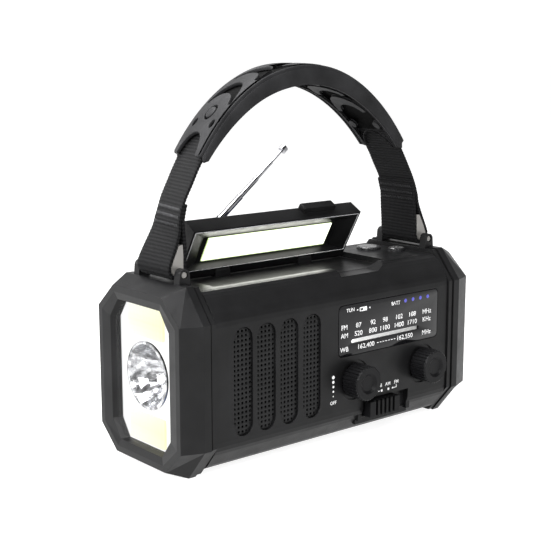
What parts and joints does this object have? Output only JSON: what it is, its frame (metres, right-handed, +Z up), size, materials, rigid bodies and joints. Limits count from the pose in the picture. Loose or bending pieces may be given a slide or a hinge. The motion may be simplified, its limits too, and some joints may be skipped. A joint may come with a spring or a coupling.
{
  "type": "emergency radio",
  "caption": "Box-shaped emergency radio with a torch at one end, flip-up solar and reading-lamp lid, strap handle, telescopic mast, tuning panel and folding hand crank at the back.",
  "frame": {"origin": "centre of the bounding box at the plane it stands on", "axes": "+X along the length towards the port end, torch at -X; +Y towards the crank at the back, control panel at -Y; +Z up"},
  "size_m": [0.165, 0.08, 0.163],
  "materials": {
    "case_black_plastic": "fine-textured matte ABS",
    "grip_black_rubber": "matte moulded rubber",
    "webbing_black_nylon": "ribbed woven nylon",
    "bright_steel": "zinc-plated steel",
    "strap_hanger_grey": "satin paint",
    "antenna_chrome": "polished chrome",
    "circuit_board_green": "solder mask",
    "gear_white_nylon": "natural nylon",
    "dial_gloss_black": "polished, printed",
    "dial_plate_dark": "satin",
    "pointer_white": "satin white",
    "speaker_dark_steel": "satin",
    "control_can_steel": "plain",
    "generator_steel": "plain",
    "bushing_bronze": "sintered bronze",
    "battery_blue_sleeve": "shrink sleeve over a steel can",
    "torch_carrier_white": "satin white",
    "window_clear": "clear polished",
    "reflector_mirror": "metallised, faceted",
    "led_yellow_phosphor": "phosphor gel",
    "solar_cell_blue": "laminated cell",
    "lamp_board_white": "satin white",
    "lamp_lens_white": "frosted"
  },
  "bodies": {
    "root": {"back_cover_screw_1": "bright_steel", "back_cover_screw_2": "bright_steel", "back_cover_screw_3": "bright_steel", "back_cover_screw_4": "bright_steel", "band_switch_body": "control_can_steel", "battery_cell": "battery_blue_sleeve", "battery_door": "case_black_plastic", "battery_door_screw": "bright_steel", "button_board": "circuit_board_green", "cob_panel_lower": "led_yellow_phosphor", "cob_panel_upper": "led_yellow_phosphor", "crank_bushing": "bushing_bronze", "dial_plate": "dial_plate_dark", "dial_window": "dial_gloss_black", "end_cap_ports": "case_black_plastic", "end_cap_torch": "case_black_plastic", "generator": "generator_steel", "grip_base": "grip_black_rubber", "grip_top": "grip_black_rubber", "handle_webbing": "webbing_black_nylon", "housing_back": "case_black_plastic", "housing_front": "case_black_plastic", "lid_hinge_pin": "bright_steel", "main_board": "circuit_board_green", "port_board": "circuit_board_green", "speaker_driver": "speaker_dark_steel", "speaker_grille": "case_black_plastic", "strap_hanger_left": "strap_hanger_grey", "strap_hanger_right": "strap_hanger_grey", "torch_led": "led_yellow_phosphor", "torch_plate": "torch_carrier_white", "torch_reflector": "reflector_mirror", "torch_window": "window_clear", "tuning_capacitor": "control_can_steel", "volume_potentiometer": "control_can_steel"},
    "lid": {"lid_frame": "case_black_plastic", "solar_panel": "solar_cell_blue", "lamp_board": "lamp_board_white", "lamp_lens": "lamp_lens_white"},
    "crank": {"crank_arm": "case_black_plastic", "crank_screw": "bright_steel", "drive_gear": "gear_white_nylon"},
    "antenna_swivel_base": {"antenna_base": "antenna_chrome"},
    "mast_1": {"antenna_mast_1": "antenna_chrome"},
    "mast_2": {"antenna_mast_2": "antenna_chrome"},
    "mast_3": {"antenna_mast_3": "antenna_chrome"},
    "mast_4": {"antenna_mast_4": "antenna_chrome"},
    "mast_tip": {"antenna_tip": "antenna_chrome"},
    "band_slider": {"band_switch_slider": "case_black_plastic"},
    "crank_sleeve": {"crank_knob": "grip_black_rubber"},
    "crank_stem": {"crank_knob_stem": "bright_steel"},
    "generator_rotor": {"generator_pinion": "gear_white_nylon"},
    "idler": {"idler_gear": "gear_white_nylon"},
    "lamp_key": {"lamp_button": "case_black_plastic"},
    "flap": {"port_flap": "grip_black_rubber"},
    "sos_key": {"sos_button": "case_black_plastic"},
    "tuning_dial": {"tuning_knob": "case_black_plastic"},
    "pointer": {"tuning_pointer": "pointer_white"},
    "volume_dial": {"volume_knob": "case_black_plastic"}
  },
  "joints": [
    {"name": "lid_hinge", "type": "hinge", "parent": "root", "child": "lid", "pos_m": [-0.0086, 0.01126, 0.0756], "axis": [-1, 0, 0], "range_deg": [-60.5, 29]},
    {"name": "volume_turn", "type": "hinge", "parent": "root", "child": "volume_dial", "pos_m": [0.0085, -0.0355, 0.0282], "axis": [0, 1, 0], "range_deg": [0, 280]},
    {"name": "tuning_turn", "type": "hinge", "parent": "root", "child": "tuning_dial", "pos_m": [0.0505, -0.0355, 0.0282], "axis": [0, 1, 0], "range_deg": [0, 270]},
    {"name": "pointer_slide", "type": "slide", "parent": "root", "child": "pointer", "axis": [1, 0, 0], "range_m": [0, 0.04]},
    {"name": "band_switch_slide", "type": "slide", "parent": "root", "child": "band_slider", "axis": [1, 0, 0], "range_m": [0, 0.008]},
    {"name": "lamp_button_press", "type": "slide", "parent": "root", "child": "lamp_key", "axis": [0, 0, -1], "range_m": [0, 0.0008], "stiffness_N_per_m": 300},
    {"name": "sos_button_press", "type": "slide", "parent": "root", "child": "sos_key", "axis": [0, 0, -1], "range_m": [0, 0.0008], "stiffness_N_per_m": 300},
    {"name": "antenna_swivel", "type": "hinge", "parent": "root", "child": "antenna_swivel_base", "pos_m": [-0.0475, 0.025, 0.0745], "axis": [0, 0, 1], "range_deg": [0, 150]},
    {"name": "antenna_tilt", "type": "hinge", "parent": "antenna_swivel_base", "child": "mast_1", "pos_m": [-0.0475, 0.025, 0.0745], "axis": [0, -1, 0], "range_deg": [-38, 60]},
    {"name": "antenna_slide_2", "type": "slide", "parent": "mast_1", "child": "mast_2", "axis": [0.7869, 0, 0.617], "range_m": [-0.0132, 0.011]},
    {"name": "antenna_slide_3", "type": "slide", "parent": "mast_2", "child": "mast_3", "axis": [0.7869, 0, 0.617], "range_m": [-0.0115, 0.0115]},
    {"name": "antenna_slide_4", "type": "slide", "parent": "mast_3", "child": "mast_4", "axis": [0.7869, 0, 0.617], "range_m": [-0.0105, 0.0115]},
    {"name": "antenna_slide_tip", "type": "slide", "parent": "mast_4", "child": "mast_tip", "axis": [0.7869, 0, 0.617], "range_m": [-0.0077, 0.011]},
    {"name": "crank_turn", "type": "hinge", "parent": "root", "child": "crank", "pos_m": [0.018, 0.0358, 0.039], "axis": [0, 1, 0], "continuous": true},
    {"name": "idler_spin", "type": "hinge", "parent": "root", "child": "idler", "pos_m": [0.042, 0.02, 0.039], "axis": [0, 1, 0], "continuous": true},
    {"name": "generator_spin", "type": "hinge", "parent": "root", "child": "generator_rotor", "pos_m": [0.042, 0.02, 0.02], "axis": [0, 1, 0], "continuous": true},
    {"name": "crank_knob_fold", "type": "hinge", "parent": "crank", "child": "crank_stem", "pos_m": [-0.022, 0.0358, 0.039], "axis": [0, 0, 1], "range_deg": [0, 90]},
    {"name": "crank_knob_spin", "type": "hinge", "parent": "crank_stem", "child": "crank_sleeve", "pos_m": [-0.008, 0.0358, 0.039], "axis": [1, 0, 0], "continuous": true},
    {"name": "port_flap_hinge", "type": "hinge", "parent": "root", "child": "flap", "pos_m": [0.0816, 0, 0.033], "axis": [0, 1, 0], "range_deg": [0, 95]}
  ],
  "couplings": [
    {"joint": "pointer_slide", "follows": "tuning_turn", "m_per_rad": 0.00848},
    {"joint": "idler_spin", "follows": "crank_turn", "ratio": -3},
    {"joint": "generator_spin", "follows": "crank_turn", "ratio": 8.4}
  ]
}
